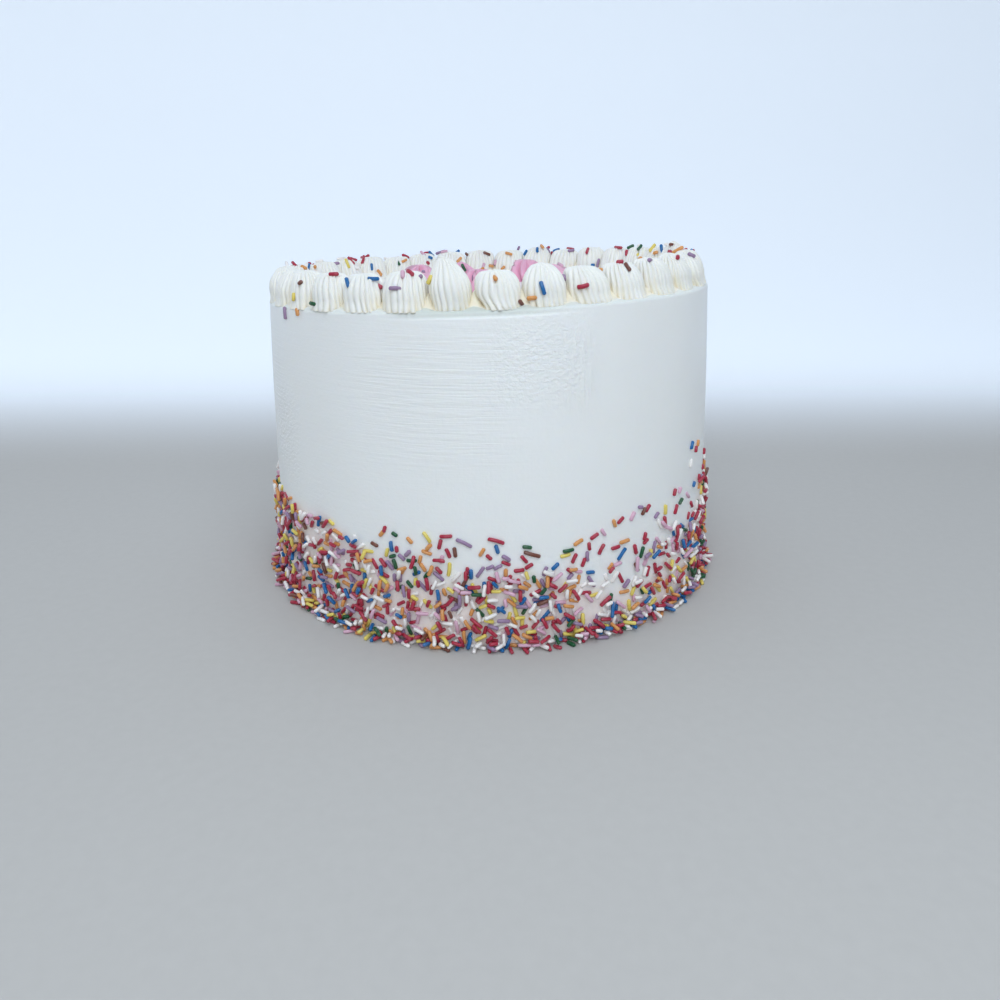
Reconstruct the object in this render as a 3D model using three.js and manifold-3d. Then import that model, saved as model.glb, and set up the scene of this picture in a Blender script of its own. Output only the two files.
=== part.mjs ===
// A tall round celebration cake: a smooth coat of white buttercream that leans in a little towards the top,
// rainbow sprinkles pressed into the lower wall, a ring of star-tip buttercream dollops along the top edge
// and a ring of small pink ones in the middle. It is uncut, so the cake and its coat are one solid.
// Millimetres, +Z up, origin in the middle of the flat underside, +X to the right of the front (-Y).

import * as THREE from "three";
import { mergeVertices } from "three/addons/utils/BufferGeometryUtils.js";
import Module from "manifold-3d";

const wasm = await Module();
wasm.setup();

// The coated cake
const BASE_RADIUS = 80.9;
const TOP_RADIUS = 76.2;
const CAKE_HEIGHT = 100; // on the axis
const TAPER_POWER = 1.5; // the wall is upright at the foot and leans in more and more above it
const TOP_RISE_X = 0.0355; // the top isn't quite level: its rise per mm
const TOP_RISE_Y = -0.01;
const EDGE_ROUND = 0.7; // the scraped top edge
const WALL_WAVE = 0.25; // how far a hand scraped wall wanders in and out
const CAKE_SIDES = 60;
const WALL_ROWS = 3;

// Dollops: pulled straight up from a star tip, side by side
const DOLLOP_COUNT = 34;
const DOLLOP_RING_RADIUS = 69.9;
const DOLLOP_RING_CENTRE = [-0.8, 0.8]; // piped a little off the middle
const DOLLOP_FIRST_ANGLE = -98; // degrees
const DOLLOP_RADIUS = 6.2;
const DOLLOP_HEIGHT = 10.6;
const DOLLOP_HEIGHT_SPREAD = 0.7;
const PULLED_PEAK = 4; // extra height of the few peaks that are pulled right up
const PULLED_RARITY = 20;
const DOLLOP_RIDGES = 10;
const PEAK_INWARD = 0.6; // peaks bend towards the cake's middle and back along the ring
const PEAK_BACK = 0.8;
const PEAK_PULLED_BACK = 1.9;
const PEAK_SPREAD = 1.1;
const SEAT_GAP = 0.3; // between a dollop's foot and the top of the cake

// Pink dollops in the middle of the top
const PINK_RING_COUNT = 8;
const PINK_RING_RADIUS = 28;
const PINK_FIRST_ANGLE = 12; // degrees
const PINK_CENTRE_X = -2;
const PINK_RADIUS = 7;
const PINK_HEIGHT = 7.6;
const PINK_HEIGHT_SPREAD = 1.2;
const PINK_RIDGES = 6;
const PINK_LEAN = 2;

// Outlines from the foot to the peak: share of the dollop's radius, share of its height
const DOLLOP_OUTLINE = [
  [0, 0],
  [0.93, 0],
  [0.98, 0.25],
  [1, 0.5],
  [0.83, 0.83],
  [0, 1],
];
const PINK_OUTLINE = [
  [0, 0],
  [1, 0],
  [0.96, 0.28],
  [0.77, 0.58],
  [0.36, 0.88],
  [0, 1],
];
const RIDGE_DEPTH = 0.13; // of the radius
const RIDGE_TWIST = 0.2; // radians from foot to peak

// Sprinkles
const SPRINKLE_RADIUS = 0.65;
const SPRINKLE_LENGTH = 4;
const SPRINKLE_SIDES = 5;
const SPRINKLE_PROUD = 0.25; // of its middle line above what it is pressed into
const WALL_SPRINKLES = 130;
const SPRINKLE_SPACING = 5.5; // least distance between two on the wall
const BAND_HEIGHT = 38; // of the sprinkled band, mean
const BAND_RISE = 5; // it climbs towards +X
const BAND_RAGGED = 3;
const BAND_CROWDING = 1.5; // above 1, they crowd towards the foot
const FOOT_SPRINKLES = 26; // have dropped to the foot and point outwards
const FOOT_REACH = 0.9; // of their middles past the wall
const FOOT_TURN = 0.9; // radians that they may point away from straight out
const FOOT_CLEARANCE = 0.1; // of the lowest ones above the underside
const TOP_SPRINKLES = 10;
const TOP_SPRINKLE_RING = [43, 58]; // lie between the two rings of dollops, at these radii
const STRAY_SPRINKLES = [
  [-146, 93.5],
  [-139, 94],
  [-131, 94.5],
]; // knocked off the dollops and stuck on the wall: angle in degrees, height
const SPRINKLED_SHARE = 0.5; // of the dollops

const SEED = 7; // of the scattered sprinkles
const HEIGHT_SEED = 3894; // of the dollops' heights
const TAU = 2 * Math.PI;
const UP = new THREE.Vector3(0, 0, 1);
const ALONG_CYLINDER = new THREE.Vector3(0, 1, 0); // three.js cylinders stand along Y

const buttercream = new THREE.MeshStandardMaterial({ color: 0xe9ecf0, roughness: 0.5, metalness: 0 });
const ivoryButtercream = new THREE.MeshStandardMaterial({ color: 0xeeebe0, roughness: 0.5, metalness: 0 });
const pinkButtercream = new THREE.MeshStandardMaterial({ color: 0xe8a8c8, roughness: 0.5, metalness: 0 });

// A repeatable stream of numbers from 0 to 1.
function seededRandom(seed) {
  let state = seed;
  return () => {
    state = (state + 0x6d2b79f5) | 0;
    let mixed = Math.imul(state ^ (state >>> 15), 1 | state);
    mixed = (mixed + Math.imul(mixed ^ (mixed >>> 7), 61 | mixed)) ^ mixed;
    return ((mixed ^ (mixed >>> 14)) >>> 0) / 4294967296;
  };
}

// A number from -1 to 1 that belongs to one trait of one piece.
function vary(piece, trait) {
  const wild = Math.sin(piece * 12.9898 + trait * 78.233) * 43758.5453;
  return 2 * (wild - Math.floor(wild)) - 1;
}

// A manifold-3d solid from a closed three.js geometry.
function solidFrom(geometry) {
  geometry.deleteAttribute("normal");
  geometry.deleteAttribute("uv");
  const merged = mergeVertices(geometry, 1e-4);
  const vertProperties = merged.attributes.position.array;
  const triVerts = new Uint32Array(merged.index.array);
  return new wasm.Manifold(new wasm.Mesh({ numProp: 3, vertProperties, triVerts }));
}

function meshFrom(solid, name, material) {
  const { vertProperties, triVerts } = solid.getMesh();
  const geometry = new THREE.BufferGeometry();
  geometry.setAttribute("position", new THREE.BufferAttribute(vertProperties, 3));
  geometry.setIndex(new THREE.BufferAttribute(triVerts, 1));
  geometry.computeVertexNormals();
  const mesh = new THREE.Mesh(geometry, material);
  mesh.name = name;
  return mesh;
}

// A solid turned from an outline of [radius, height] points, then moved point by point by reshape(point).
function turnedSolid(outline, sides, reshape) {
  const points = outline.map(([radius, height]) => new THREE.Vector2(radius, height));
  const geometry = new THREE.LatheGeometry(points, sides).rotateX(Math.PI / 2);
  const position = geometry.attributes.position;
  const point = new THREE.Vector3();
  for (let i = 0; i < position.count; i++) {
    point.fromBufferAttribute(position, i);
    reshape(point);
    position.setXYZ(i, point.x, point.y, point.z);
  }
  return solidFrom(geometry);
}

// One sprinkle with its middle at centre and its length along direction.
function sprinkle(centre, direction) {
  const size = [SPRINKLE_RADIUS, SPRINKLE_RADIUS, SPRINKLE_LENGTH, SPRINKLE_SIDES];
  const geometry = new THREE.CylinderGeometry(...size);
  geometry.applyQuaternion(new THREE.Quaternion().setFromUnitVectors(ALONG_CYLINDER, direction));
  return solidFrom(geometry.translate(centre.x, centre.y, centre.z));
}

// One sprinkle pressed into a surface at point. At turn 0 it lies level, at a quarter turn straight up.
function pressedSprinkle(point, normal, turn) {
  const level = new THREE.Vector3().crossVectors(UP, normal).normalize();
  const direction = level.applyAxisAngle(normal, turn);
  return sprinkle(point.clone().addScaledVector(normal, SPRINKLE_PROUD), direction);
}

function wallRadius(height) {
  const share = height / CAKE_HEIGHT;
  return BASE_RADIUS - (BASE_RADIUS - TOP_RADIUS) * share ** TAPER_POWER;
}

// How far the wall stands proud of its mean radius.
function wallWave(angle, height) {
  return WALL_WAVE * (Math.sin(3 * angle + height / 25) + 0.5 * Math.sin(7 * angle + 1.3));
}

// The level direction away from the axis.
function outward(angle) {
  return new THREE.Vector3(Math.cos(angle), Math.sin(angle), 0);
}

function wallPoint(angle, height) {
  return outward(angle).multiplyScalar(wallRadius(height) + wallWave(angle, height)).setZ(height);
}

function topHeight(x, y) {
  return CAKE_HEIGHT + TOP_RISE_X * x + TOP_RISE_Y * y;
}

// The ragged upper edge of the sprinkled band at an angle round the cake.
function bandTop(angle) {
  const climb = BAND_RISE * Math.cos(angle + 0.3);
  const ragged = Math.sin(5 * angle + 0.7) + 0.5 * Math.sin(13 * angle);
  return BAND_HEIGHT + climb + BAND_RAGGED * ragged;
}

function coatedCake() {
  const outline = [[0, 0]];
  for (let row = 0; row <= WALL_ROWS; row++) {
    const height = ((CAKE_HEIGHT - EDGE_ROUND) * row) / WALL_ROWS;
    outline.push([wallRadius(height), height]);
  }
  outline.push([TOP_RADIUS - EDGE_ROUND, CAKE_HEIGHT], [0, CAKE_HEIGHT]);
  return turnedSolid(outline, CAKE_SIDES, (point) => {
    const reach = Math.hypot(point.x, point.y);
    const angle = Math.atan2(point.y, point.x);
    const height = (point.z * topHeight(point.x, point.y)) / CAKE_HEIGHT;
    if (reach > 0) point.copy(outward(angle).multiplyScalar(reach + wallWave(angle, point.z)));
    point.z = height;
  });
}

// Sprinkles pressed into the lower wall, crowding towards the foot.
function wallSprinkles(random) {
  const placed = [];
  const pieces = [];
  const lowest = FOOT_CLEARANCE + SPRINKLE_RADIUS;
  while (pieces.length < WALL_SPRINKLES) {
    const angle = TAU * random();
    const height = lowest + (bandTop(angle) - lowest) * random() ** BAND_CROWDING;
    const turn = Math.PI * random();
    const point = wallPoint(angle, height);
    const crowded = placed.some((other) => other.distanceTo(point) < SPRINKLE_SPACING);
    const tooLow = height < lowest + (SPRINKLE_LENGTH / 2) * Math.sin(turn);
    if (crowded || tooLow) continue;
    placed.push(point);
    pieces.push(pressedSprinkle(point, outward(angle), turn));
  }
  return pieces;
}

// Sprinkles lying at the foot of the wall, each with one end in it.
function footSprinkles(random) {
  const lowest = FOOT_CLEARANCE + SPRINKLE_RADIUS;
  return Array.from({ length: FOOT_SPRINKLES }, (_, index) => {
    const angle = (TAU * (index + 0.5 * random())) / FOOT_SPRINKLES;
    const centre = wallPoint(angle, lowest).addScaledVector(outward(angle), FOOT_REACH);
    return sprinkle(centre, outward(angle + FOOT_TURN * (2 * random() - 1)));
  });
}

function straySprinkles() {
  return STRAY_SPRINKLES.map(([degrees, height], index) => {
    const angle = THREE.MathUtils.degToRad(degrees);
    return pressedSprinkle(wallPoint(angle, height), outward(angle), Math.PI * vary(index, 1));
  });
}

function topSprinkles(random) {
  const [inner, outer] = TOP_SPRINKLE_RING;
  const normal = new THREE.Vector3(-TOP_RISE_X, -TOP_RISE_Y, 1).normalize();
  return Array.from({ length: TOP_SPRINKLES }, (_, index) => {
    const angle = (TAU * (index + 0.6 * random())) / TOP_SPRINKLES;
    const radius = inner + (outer - inner) * random();
    const point = outward(angle).multiplyScalar(radius);
    point.z = topHeight(point.x, point.y);
    return pressedSprinkle(point, normal, Math.PI * random());
  });
}

// A dollop on the XY plane: a star-tip section that twists, narrows and bends over at the peak.
// lean is the peak's offset from the middle of the foot.
function dollop({ shares, radius, height, ridges, lean, twist }) {
  const outline = shares.map(([width, rise]) => [width * radius, rise * height]);
  return turnedSolid(outline, 2 * ridges, (point) => {
    const reach = Math.hypot(point.x, point.y);
    if (reach > 0) {
      const angle = Math.atan2(point.y, point.x);
      const inGroove = Math.cos(ridges * angle) < 0;
      const width = reach * (inGroove ? 1 - RIDGE_DEPTH : 1);
      const turned = angle + (twist * point.z) / height;
      point.x = width * Math.cos(turned);
      point.y = width * Math.sin(turned);
    }
    const bend = (point.z / height) ** 3;
    point.x += lean.x * bend;
    point.y += lean.y * bend;
  });
}

// A sprinkle on a dollop's side, at a share of its height. Angle 0 is away from the cake's middle.
function sprinkleOnDollop({ radius, height, lean }, angle, rise, turn) {
  const steepness = 1.1 * rise; // radians of the surface's upward tilt
  const width = radius * Math.sqrt(1 - rise ** 4);
  const normal = new THREE.Vector3(
    Math.cos(angle) * Math.cos(steepness),
    Math.sin(angle) * Math.cos(steepness),
    Math.sin(steepness),
  );
  const point = new THREE.Vector3(
    width * Math.cos(angle) + lean.x * rise ** 3,
    width * Math.sin(angle) + lean.y * rise ** 3,
    rise * height,
  );
  return pressedSprinkle(point, normal, turn);
}

function whiteDollop(index) {
  const tallness = vary(index, HEIGHT_SEED);
  const pulled = Math.max(0, tallness) ** PULLED_RARITY;
  const inward = PEAK_INWARD * (1 + vary(index, 2));
  const back = PEAK_BACK + PEAK_PULLED_BACK * pulled + PEAK_SPREAD * vary(index, 3);
  const traits = {
    shares: DOLLOP_OUTLINE,
    radius: DOLLOP_RADIUS,
    height: DOLLOP_HEIGHT + DOLLOP_HEIGHT_SPREAD * tallness + PULLED_PEAK * pulled,
    ridges: DOLLOP_RIDGES,
    lean: new THREE.Vector2(-inward, -back),
    twist: RIDGE_TWIST * (1 + 0.5 * vary(index, 4)),
  };
  let solid = dollop(traits);
  if (Math.abs(vary(index, 5)) < SPRINKLED_SHARE) {
    const side = vary(index, 6) > 0 ? 0 : Math.PI;
    const angle = side + 0.6 * vary(index, 7);
    const rise = 0.5 + 0.2 * vary(index, 8);
    solid = solid.add(sprinkleOnDollop(traits, angle, rise, Math.PI * vary(index, 9)));
  }
  const degrees = DOLLOP_FIRST_ANGLE + (360 * index) / DOLLOP_COUNT;
  const angle = THREE.MathUtils.degToRad(degrees);
  const mesh = meshFrom(solid, `dollop_${String(index + 1).padStart(2, "0")}`, ivoryButtercream);
  const [centreX, centreY] = DOLLOP_RING_CENTRE;
  mesh.position.set(centreX, centreY, SEAT_GAP).addScaledVector(outward(angle), DOLLOP_RING_RADIUS);
  mesh.rotation.z = angle;
  return mesh;
}

function pinkDollop(index) {
  const piece = index + DOLLOP_COUNT;
  const traits = {
    shares: PINK_OUTLINE,
    radius: PINK_RADIUS * (1 + 0.12 * vary(piece, 1)),
    height: PINK_HEIGHT + PINK_HEIGHT_SPREAD * vary(piece, 2),
    ridges: PINK_RIDGES,
    lean: new THREE.Vector2(vary(piece, 3), vary(piece, 4)).multiplyScalar(PINK_LEAN),
    twist: 2 * RIDGE_TWIST,
  };
  const inRing = index < PINK_RING_COUNT;
  const degrees = PINK_FIRST_ANGLE + (360 * index) / PINK_RING_COUNT + 6 * vary(piece, 5);
  const angle = THREE.MathUtils.degToRad(degrees);
  const reach = inRing ? PINK_RING_RADIUS + 1.5 * vary(piece, 6) : 0;
  const mesh = meshFrom(dollop(traits), `pink_dollop_${index + 1}`, pinkButtercream);
  mesh.position.copy(outward(angle).multiplyScalar(reach).setZ(SEAT_GAP));
  mesh.position.x += PINK_CENTRE_X;
  mesh.rotation.z = angle;
  return mesh;
}

const random = seededRandom(SEED);
const sprinkles = [
  ...wallSprinkles(random),
  ...footSprinkles(random),
  ...straySprinkles(),
  ...topSprinkles(random),
];
const cakeSolid = sprinkles.reduce((whole, piece) => whole.add(piece), coatedCake());

// The plane of the cake's top, which the dollops stand on
const top = new THREE.Group();
top.position.z = CAKE_HEIGHT;
top.quaternion.setFromUnitVectors(UP, new THREE.Vector3(-TOP_RISE_X, -TOP_RISE_Y, 1).normalize());
for (let index = 0; index < DOLLOP_COUNT; index++) top.add(whiteDollop(index));
for (let index = 0; index <= PINK_RING_COUNT; index++) top.add(pinkDollop(index));

const birthdayCake = new THREE.Group();
birthdayCake.add(meshFrom(cakeSolid, "cake", buttercream), top);

export default birthdayCake;
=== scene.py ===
import math
import random

import bmesh
import bpy
import numpy as np
from mathutils import Matrix, Vector
from mathutils.bvhtree import BVHTree


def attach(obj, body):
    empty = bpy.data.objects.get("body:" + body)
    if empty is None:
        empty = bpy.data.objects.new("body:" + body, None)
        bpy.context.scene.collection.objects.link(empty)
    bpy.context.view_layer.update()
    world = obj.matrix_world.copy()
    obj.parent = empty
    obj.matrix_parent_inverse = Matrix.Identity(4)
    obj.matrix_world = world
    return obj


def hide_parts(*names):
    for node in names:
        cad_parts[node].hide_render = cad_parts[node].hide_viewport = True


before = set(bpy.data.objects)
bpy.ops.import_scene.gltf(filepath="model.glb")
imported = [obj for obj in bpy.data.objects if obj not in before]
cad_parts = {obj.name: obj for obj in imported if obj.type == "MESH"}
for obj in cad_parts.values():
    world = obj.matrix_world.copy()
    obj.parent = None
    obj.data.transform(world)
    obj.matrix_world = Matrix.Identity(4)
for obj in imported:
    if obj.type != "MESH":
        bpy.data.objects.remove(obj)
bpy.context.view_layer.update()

# The dressed birthday cake: its buttercream coat, the ring of piped dollops on the top edge, the
# small pink ones inside the ring, and the sugar sprinkles. Lengths are millimetres until a mesh
# is made, and millimetres times MM are Blender's metres. Angles are degrees round the cake,
# anticlockwise from +X seen from above, so the front is at -90.
MM = 0.001
FRONT = -90.0
UP = np.array([0.0, 0.0, 1.0])

# ---- Camera ----
CAMERA_PLACE = (0.0, -288.23, 125.73)
CAMERA_DOWN = 20.49
CAMERA_RIGHT = 0.663
CAMERA_ROLL = -0.328
CAMERA_LENS = 27.82
CAMERA_SENSOR = 36.0
IMAGE_SIDE = 1000

# ---- Studio, in metres and watts: each light's name, place, aim, side and power ----
LIGHTS = (
    ("overhead", (0.0, -0.2, 1.3), (0, 0, 0.08), 1.3, 2.2),
    ("front_window", (-0.1, -1.5, 0.8), (0, 0, 0.06), 1.1, 2.0),
    ("softbox", (0.05, -0.42, 0.45), (0, -0.06, 0.09), 0.45, 1.56),
    ("side_window", (-0.9, 0.15, 0.4), (-0.05, 0, 0.06), 0.6, 0.8),
)
ROOM_LIGHT = 0.42
ROOM_SEEN = 0.85
FLOOR_FRONT = -3.0
FLOOR_SIDE = 4.0
BACKDROP_START = 0.26
BACKDROP_CURVE = 0.26
BACKDROP_TOP = 3.0
BACKDROP_GLOW = 0.28
# The floor turns into the brighter backdrop from here, over the backdrop's start.
BACKDROP_FADE = 0.1

# ---- How strongly the materials bend light ----
BUTTERCREAM_IOR = 1.46
SUGAR_IOR = 1.5

# ---- Sizes of the coat ----
BASE_RADIUS = 80.9
TOP_RADIUS = 76.2
CAKE_HEIGHT = 100.0
TAPER_POWER = 1.5
# How much the top climbs for each millimetre along X and Y.
TOP_RISE_X = 0.0355
TOP_RISE_Y = -0.01
EDGE_ROUND = 0.7
# How the wall strays from true, in the solid and by the scraper's own soft facets: waves round
# the cake, depth of each, its start in radians, and the height that turns it by one radian. The
# facets are whole at this height above the foot.
WALL_WAVES = ((3, 0.25, 0.0, 25.0), (7, 0.125, 1.3, math.inf))
WALL_FACETS = ((9, 0.16, 0.4, 90.0), (17, 0.1, 2.0, -60.0))
FACETS_RISE = 4.0
# The gentle unevenness of the top within its rim: depth, and length of a radian along X and Y.
RIM_START = 74.0
TOP_SWELL = 0.25
TOP_SWELL_LONG = 11.0
TOP_SWELL_WIDE = 13.0
# At the front the scraper stopped short of the edge and left a low step under it: its middle
# and half width in degrees, its height, how far it lies in, the height of its own edge, and
# where on the top it starts and how soon it is whole.
STEP_ANGLE = -92.0
STEP_WIDE = 17.0
STEP_DEEP = 1.9
STEP_IN = 0.45
STEP_EDGE = 0.4
STEP_START = 70.0
STEP_RUN = 4.0
# Columns round the coat and rows of its mesh: down the rounded edge, the scraped edge under it
# and the wall, and out over the plain top and the dollops' seat.
COAT_STEPS = 408
COAT_ROWS = 110
EDGE_ROWS = 8
EDGE_DEEP = 2.4
TOP_RINGS = 24
SEAT_RINGS = 36
SEAT_START = 60.0
UNDERSIDE_RINGS = (0.97, 0.8, 0.5, 0.2, 0)
# The paste runs together in a low web between each dollop and the next; its half width is in
# degrees round the cake. A warm, butter yellow shade is painted on it and on the seat round it.
WEB_HEIGHT = 4.8
WEB_WIDTH = 4.4
WEB_INSET = 0.8
WEB_HALF_ANGLE = 1.7
SEAT_HALF_WIDTH = 5.2
# Painted grey shade, where the dollops overhang the coat: on this height of the edge and on the
# step.
EDGE_SHADE_HEIGHT = 0.6
EDGE_SHADE_AMOUNT = 0.4
STEP_SHADE_AMOUNT = 0.6
# The sprinkles' dye runs this far over the thick of the band, and fades over twice as much.
DYE_RUN = 4.0
# Marks the scraper left on the wall: angle round the cake, height, half width and half height.
RIPPLED = ((-101, 77, 26, 20), (-18, 62, 15, 26), (38, 50, 24, 30), (95, 66, 26, 24),
           (150, 52, 22, 34), (-160, 70, 18, 20))
TORN = ((-79, 86, 15, 12), (12, 78, 12, 14), (70, 60, 14, 12), (128, 84, 12, 12),
        (-150, 58, 12, 16))
DRAGGED = ((-71, 84, 5, 13), (60, 80, 7, 14), (-172, 60, 7, 16), (110, 50, 6, 14))

# ---- Sizes of the piped dollops ----
DOLLOP_COUNT = 34
DOLLOP_RING_RADIUS = 69.9
DOLLOP_RING_CENTRE = (-0.8, 0.8)
DOLLOP_FIRST_ANGLE = -98.0
DOLLOP_RADIUS = 6.7
DOLLOP_RADIUS_SPREAD = 0.02
DOLLOP_HEIGHT = 10.6
DOLLOP_HEIGHT_SPREAD = 0.7
HEIGHT_SEED = 3894
SEAT_SINK = 0.1
# The tallest few are pulled up further, and the taller ones are pointed.
PULLED_PEAK = 4.0
PULLED_RARITY = 20
POINTED_RARITY = 5
# Across the ring a dollop is this share of its width along it, fuller at the foot and pinched
# at the top, and it flattens from this share of the way to the next.
DOLLOP_DEPTH = 0.9
FOOT_FILL = 0.12
FOOT_FILL_HEIGHT = 0.2
TOP_PINCH = 0.25
CONTACT_START = 0.9
# Ridges: how deep their grooves are as a share of the radius, and how much deeper by the top.
DOLLOP_RIDGES = 22
RIDGE_DEPTH = 0.115
RIDGE_SHARPNESS = 1.5
RIDGE_STEPS = 6
GROOVES_VARY = 0.3
TOP_GROOVES = 0.9
TOP_GROOVES_START = 0.45
TOP_GROOVES_RUN = 0.4
# The toes of the ridges spread over the lowest part of the height.
TOE_HEIGHT = 0.07
TOE_SPREAD = 0.07
TOE_VARIES = 0.05
# The foot: how far it sweeps round in radians, lies ahead, is narrower and is squarish, and the
# share of the height each of them fades over. The top sweeps round a little too.
FOOT_SWEEP = 0.06
SWEEP_VARIES = 0.4
SWEEP_HEIGHT = 0.15
FOOT_SHIFT = 0.6
FOOT_NARROW = 0.16
FOOT_HEIGHT = 0.28
FOOT_SQUARE = 1.1
FOOT_SQUARE_HEIGHT = 0.5
TOP_SWEEP = 0.3
TOP_SWEEP_START = 0.6
# Round the back left the feet lie further in, by up to this, and the bodies lean out over them.
FOOT_INSET = 3.0
FOOT_INSET_ANGLE = 155.0
PEAK_INWARD = 0.6
PEAK_BACK = 0.8
PEAK_PULLED_BACK = 1.9
PEAK_SPREAD = 1.1
# No two are alike: waves round each that bulge it and that turn its ridges, as their count,
# their size as a share of the radius or in radians, and how fast they shift from one to the next.
BULGES = ((2, 0.03, 1.0), (3, 0.02, 2.1))
TURNS = ((3, 0.05, 1.0), (5, 0.03, 2.0))
# The ridges wander on the way up, the body sways, and the ring's are uneven in height.
WANDER = 0.03
SWAY = 0.12
RAGGED = 0.02
# How much painted warm shade, butter yellow, there is and the share of the height it fades over:
# at the foot, where neighbours meet and low in the grooves; and how much in the grooves all the way
# up.
FOOT_WARM_SHADE = (0.25, 0.04)
SIDE_WARM_SHADE = (0.75, 0.4)
LOW_GROOVE_WARM_SHADE = (0.4, 0.12)
GROOVE_WARM_SHADE = 0.12
# Dollops from seat to peak: share of the height and of the widest radius.
ROUND_OUTLINE = ((0, 0.95), (0.05, 0.96), (0.12, 0.97), (0.25, 0.98), (0.37, 1), (0.5, 1),
                 (0.62, 0.98), (0.72, 0.94), (0.82, 0.86), (0.9, 0.75), (0.96, 0.56), (1, 0))
POINTED_OUTLINE = ((0, 0.74), (0.05, 0.77), (0.12, 0.8), (0.25, 0.87), (0.37, 0.91), (0.5, 0.89),
                   (0.62, 0.8), (0.72, 0.68), (0.82, 0.52), (0.9, 0.37), (0.96, 0.2), (1, 0))
PINK_OUTLINE = ((0, 1), (0.15, 1), (0.35, 0.93), (0.55, 0.8), (0.72, 0.62), (0.86, 0.4),
                (0.95, 0.2), (1, 0))
# The pink ones: a ring and one in its middle, with few, deep and ragged ridges.
PINK_RING_COUNT = 8
PINK_RING_RADIUS = 28.0
PINK_RING_SPREAD = 1.5
PINK_FIRST_ANGLE = 12.0
PINK_ANGLE_SPREAD = 6.0
PINK_CENTRE_X = -2.0
PINK_RADIUS = 7.0
PINK_RADIUS_SPREAD = 0.12
PINK_HEIGHT = 7.6
PINK_HEIGHT_SPREAD = 1.2
PINK_RIDGES = 9
PINK_RIDGE_DEPTH = 0.5
PINK_RAGGED = 0.42
PINK_SWEEP = 0.5
PINK_LEAN = 2.0

# ---- Sizes and places of the sprinkles ----
SEED = 7
SPRINKLE_RADIUS = 0.64
SPRINKLE_SIDES = 8
# The thinnest and thickest, as a share of the radius, and how far they bow, of their length.
SPRINKLE_THINNEST = 0.92
SPRINKLE_THICKEST = 1.06
SPRINKLE_BOW = 0.05
# How flat the round ends are, as a share of the radius.
SPRINKLE_END = 0.85
# The shortest and longest, but for a few that are longer still.
SPRINKLE_LENGTH = (2.5, 4.3)
LONG_SHARE = 0.1
LONG_EXTRA = 1.0
# No sprinkle touches one whose middle is this far off along X, Y or Z.
OUT_OF_REACH = 7.0
# Points on each middle line, between which the distance of two sprinkles is measured.
SPINE_POINTS = 5
# How near the middle lines of two sprinkles come: on the wall, at its foot and on the dollops.
WALL_NEAREST = 1.05
FOOT_NEAREST = 1.1
RING_NEAREST = 1.2
# How far their middles lie out of what they are placed on, or dropped on.
PLACED_OUT = 0.5 * SPRINKLE_RADIUS
DROPPED_OUT = 0.6 * SPRINKLE_RADIUS
# How much larger the share of white is on the wall, and at its foot.
WALL_PALE = 0.05
FOOT_PALE = 0.16
# On the wall each is pressed in by part of its radius, or raised on what lies there.
WALL_SPRINKLES = 2450
WALL_TRIES = 12
WALL_PRESSED = (0.25, 0.7)
WALL_RAISED = (0.0, 0.5, 1.0, 1.5)
WALL_TILT = 0.12
# Over the thick of the band this share of them strays, up to its end, or to this share of the
# way on the front, within these degrees.
STRAY_SHARE = 0.5
STRAY_FRONT = 0.6
STRAY_FRONT_ANGLE = 40.0
# The sprinkled band: degrees from the front, the height it is thick to and the height it ends at.
BAND = ((-180, 30, 40), (-150, 33, 38), (-120, 30, 42), (-90, 33, 38), (-60, 34.5, 36.5),
        (-42, 35, 36), (-33, 30, 34), (-25, 25.5, 36), (-11, 21.5, 36), (0, 20.5, 35),
        (8, 21.5, 33), (18, 19, 32), (30, 12, 37), (40, 12, 38), (50, 18, 40), (62, 29, 44),
        (75, 34, 46), (100, 33, 41), (130, 29, 38), (155, 32, 43), (180, 30, 40))
# How crowded they are, as a share: degrees from the front and the share.
CROWDED = ((-180, 0.8), (-70, 0.8), (-60, 0.64), (-40, 0.68), (-28, 0.95), (12, 1), (22, 0.74),
           (62, 0.6), (80, 0.75), (180, 0.8))
# Round the foot they lie in up to this many layers, fewer the further out.
FOOT_SPRINKLES = 620
FOOT_TRIES = 8
FOOT_REACH = 3.5
FOOT_THINNING = 2.2
FOOT_LAYERS = 5
FOOT_LAYER = 0.62
FOOT_TILT = 0.1
FOOT_CLEAR = 0.1
# On the dollops, but for the front where they are placed, some are thrown from outside and the
# rest dropped from above, as they are on the top.
OUTER_SPRINKLES_PER_DOLLOP = 2
UPPER_SPRINKLES_PER_DOLLOP = 5
PLACED_FRONT_ANGLE = 75.0
TOP_SPRINKLES = 90
TOP_SPRINKLES_REACH = 62.0
DROP_HEIGHT = 140.0
DROP_ACROSS = (-6, 5)
THROW_START = 100.0
THROW_HEIGHT = (3, 14)
RING_TILT = 0.5

# Each sugar sprinkle colour: its sRGB value and its share of the mix.
SPRINKLE_COLOURS = {
    "crimson": ("#B02440", 0.31),
    "white": ("#FBF5F0", 0.16),
    "orange": ("#DE9855", 0.14),
    "pink": ("#DEB0C4", 0.11),
    "mauve": ("#9B7E9E", 0.07),
    "blue": ("#0066A6", 0.07),
    "yellow": ("#EAD368", 0.075),
    "green": ("#0F562F", 0.045),
    "brown": ("#774334", 0.02),
}

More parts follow.
